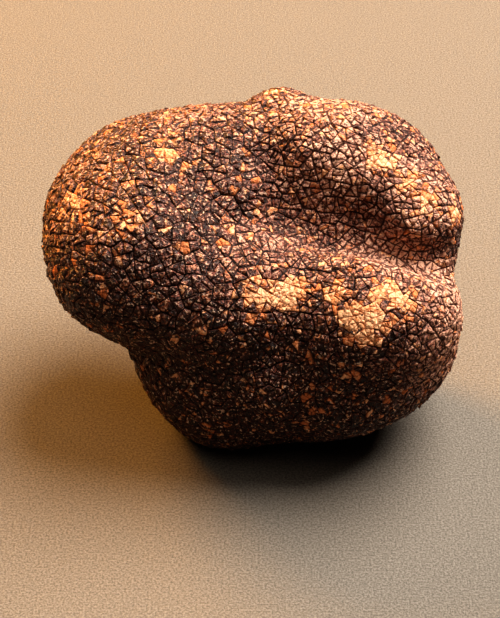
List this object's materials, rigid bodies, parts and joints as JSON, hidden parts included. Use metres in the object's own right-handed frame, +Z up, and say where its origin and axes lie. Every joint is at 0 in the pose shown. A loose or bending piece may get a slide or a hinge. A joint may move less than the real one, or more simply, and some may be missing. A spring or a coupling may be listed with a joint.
{
  "type": "black truffle",
  "caption": "Whole black truffle: a lumpy lobed body with a deep fold, covered in low polygonal warts, resting on a small flat spot.",
  "frame": {"origin": "middle of the small flat spot that the truffle rests on", "axes": "+Z up from the resting spot, -Y towards the front, where the deep fold shows, +X to the right as seen from the front, along the longest side"},
  "size_m": [0.0512, 0.0366, 0.0395],
  "materials": {
    "truffle_skin": "rough, dry, dark brown-black warty skin with tan crusts"
  },
  "bodies": {
    "root": {"truffle": "truffle_skin"}
  },
  "joints": []
}
